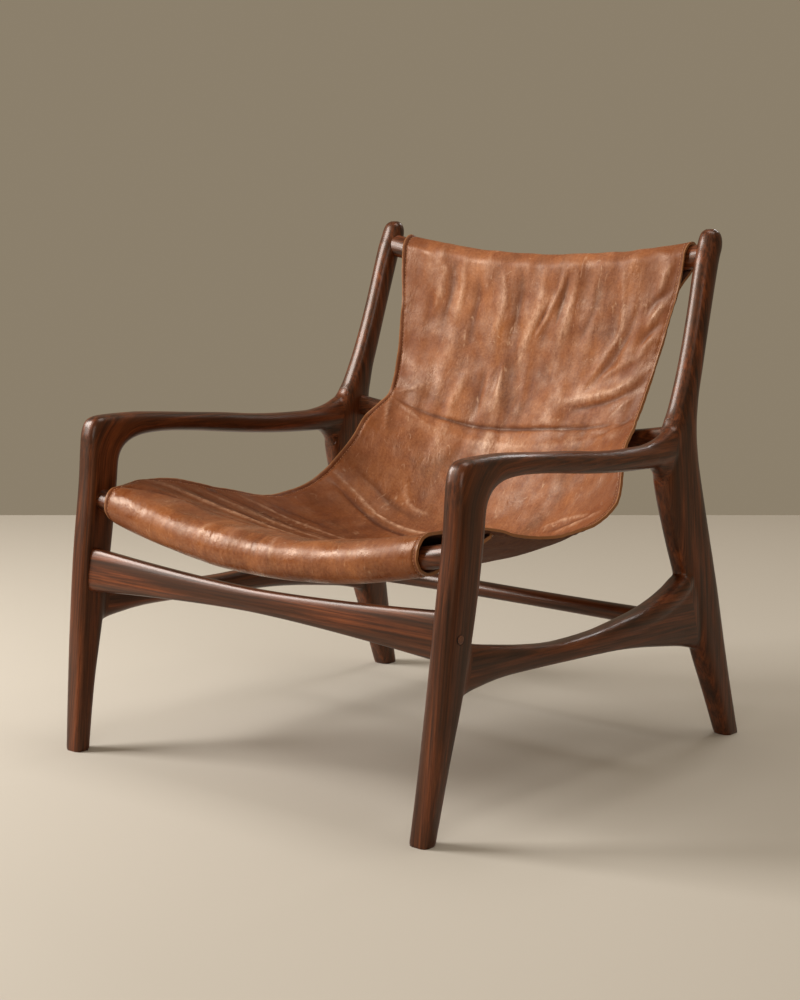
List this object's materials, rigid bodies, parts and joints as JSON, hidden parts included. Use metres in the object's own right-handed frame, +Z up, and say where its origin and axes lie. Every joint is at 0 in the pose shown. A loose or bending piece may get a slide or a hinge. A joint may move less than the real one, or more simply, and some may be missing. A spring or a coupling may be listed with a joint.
{
  "type": "sling lounge chair",
  "caption": "Low lounge chair with sculpted dark wooden side frames, cross rails, curved bars and one hanging brown leather sling as seat and back.",
  "frame": {"origin": "on the floor, under the middle of the chair's bounding box", "axes": "+Z up, the chair faces -Y, X runs across it, left is -X"},
  "size_m": [0.8056, 0.8106, 0.84],
  "materials": {
    "stained_walnut": "satin lacquer over a dark walnut stain",
    "cognac_leather": "rubbed, softly waxed hide",
    "beech_dowel": "bare, glued in",
    "zinc_steel": "zinc plated"
  },
  "bodies": {
    "root": {"left_front_leg": "stained_walnut", "left_arm": "stained_walnut", "left_side_stretcher": "stained_walnut", "left_rear_post": "stained_walnut", "left_bolt_plug": "stained_walnut", "left_leg_dowel_1": "beech_dowel", "left_leg_dowel_2": "beech_dowel", "left_stretcher_front_dowel_1": "beech_dowel", "left_stretcher_front_dowel_2": "beech_dowel", "left_stretcher_rear_dowel_1": "beech_dowel", "left_stretcher_rear_dowel_2": "beech_dowel", "left_arm_rear_dowel_1": "beech_dowel", "left_arm_rear_dowel_2": "beech_dowel", "left_rail_dowel_1": "beech_dowel", "left_rail_dowel_2": "beech_dowel", "left_rail_bolt": "zinc_steel", "left_barrel_nut": "zinc_steel", "right_front_leg": "stained_walnut", "right_arm": "stained_walnut", "right_side_stretcher": "stained_walnut", "right_rear_post": "stained_walnut", "right_bolt_plug": "stained_walnut", "right_leg_dowel_1": "beech_dowel", "right_leg_dowel_2": "beech_dowel", "right_stretcher_front_dowel_1": "beech_dowel", "right_stretcher_front_dowel_2": "beech_dowel", "right_stretcher_rear_dowel_1": "beech_dowel", "right_stretcher_rear_dowel_2": "beech_dowel", "right_arm_rear_dowel_1": "beech_dowel", "right_arm_rear_dowel_2": "beech_dowel", "right_rail_dowel_1": "beech_dowel", "right_rail_dowel_2": "beech_dowel", "right_rail_bolt": "zinc_steel", "right_barrel_nut": "zinc_steel", "front_rail": "stained_walnut", "rear_rail": "stained_walnut", "lumbar_rail": "stained_walnut", "top_bar": "stained_walnut", "front_bar": "stained_walnut", "sling": "cognac_leather"}
  },
  "joints": []
}
